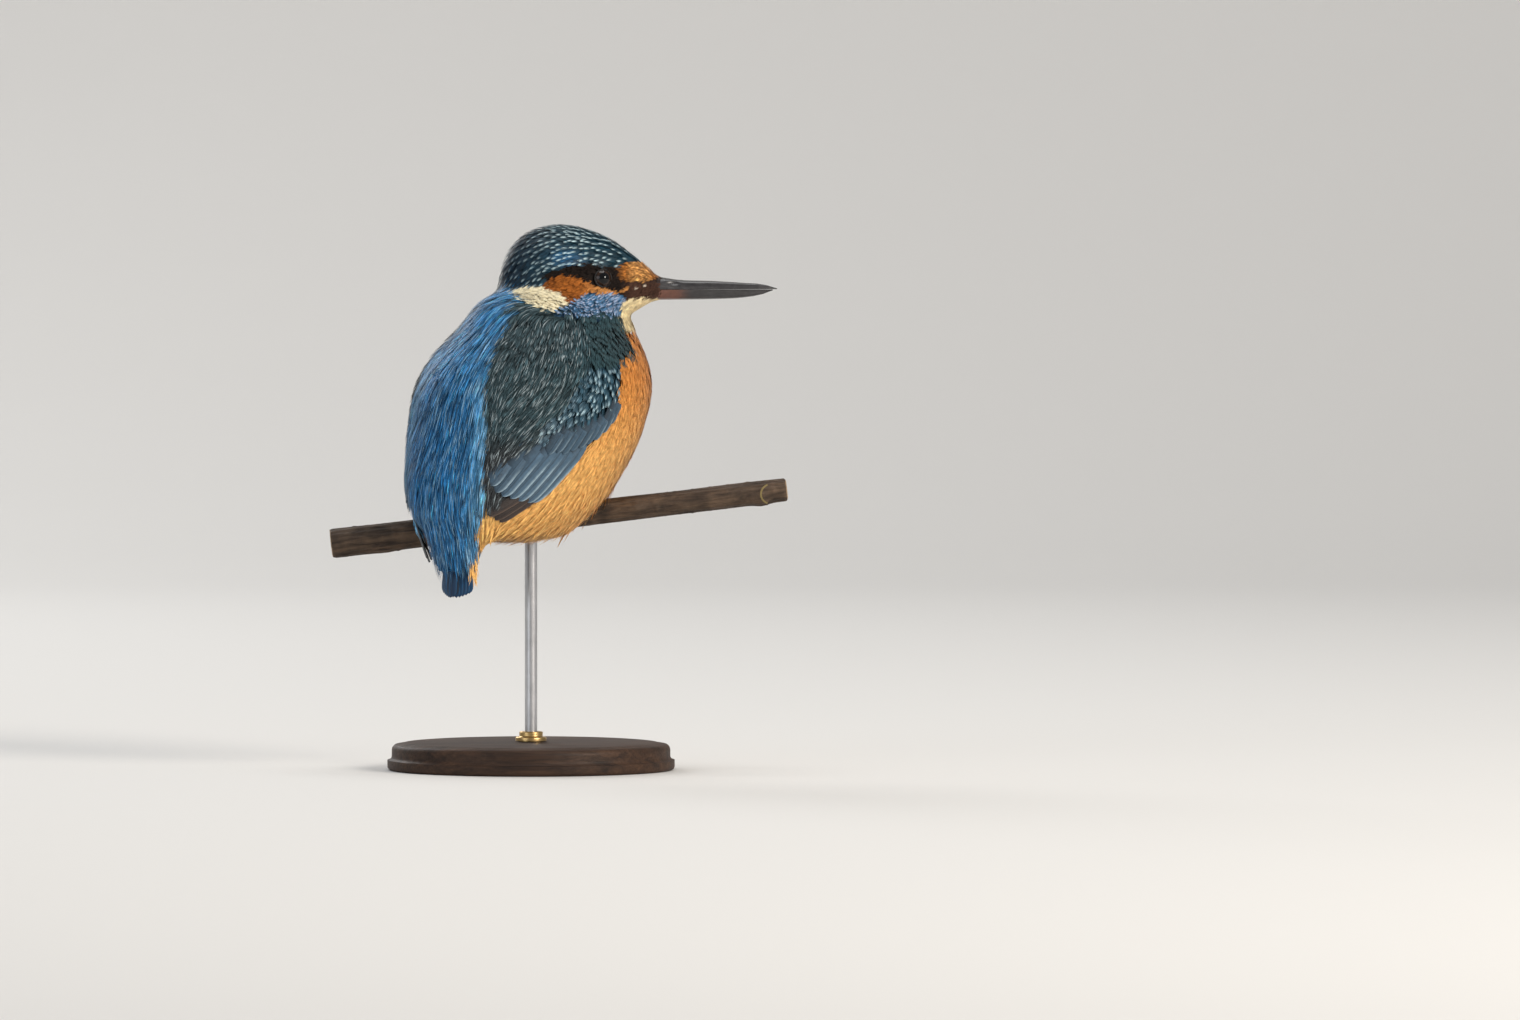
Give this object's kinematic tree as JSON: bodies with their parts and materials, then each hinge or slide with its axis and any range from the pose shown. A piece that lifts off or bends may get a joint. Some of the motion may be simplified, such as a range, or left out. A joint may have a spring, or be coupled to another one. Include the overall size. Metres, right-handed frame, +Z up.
{
  "type": "bird figure on a branch",
  "caption": "Life-size kingfisher perched on a short cut branch, head turned to its right, long dagger bill level, on a plain round display stand.",
  "frame": {"origin": "centre of the stand base's underside, under the rod", "axes": "+Z up; +X along the bill and up the branch; the body faces halfway between +X and +Y, its right side towards -Y"},
  "size_m": [0.147, 0.092, 0.1744],
  "materials": {
    "plumage": "feathered: azure back, dark teal crown, orange underside",
    "wing_feathers": "feathered, dark blue-green with pale blue spots",
    "tail_feathers": "feathered, dark blue",
    "bill": "horn, smooth, black",
    "eye": "wet, dark brown",
    "feet": "scaled skin, coral red",
    "claws": "horn, dark",
    "bark": "smooth young bark",
    "stand_wood": "dark, satin varnish",
    "stand_metal": "satin"
  },
  "bodies": {
    "root": {"head": "plumage", "neck": "plumage", "trunk": "plumage", "wing_left": "wing_feathers", "wing_right": "wing_feathers", "tail": "tail_feathers", "bill_upper": "bill", "bill_lower": "bill", "eye_left": "eye", "eye_right": "eye", "foot_left": "feet", "foot_right": "feet", "claw_left_inner": "claws", "claw_left_middle": "claws", "claw_left_outer": "claws", "claw_left_hind": "claws", "claw_right_inner": "claws", "claw_right_middle": "claws", "claw_right_outer": "claws", "claw_right_hind": "claws", "perch": "bark", "stand_base": "stand_wood", "stand_rod": "stand_metal", "stand_ferrule": "stand_metal"}
  },
  "joints": []
}
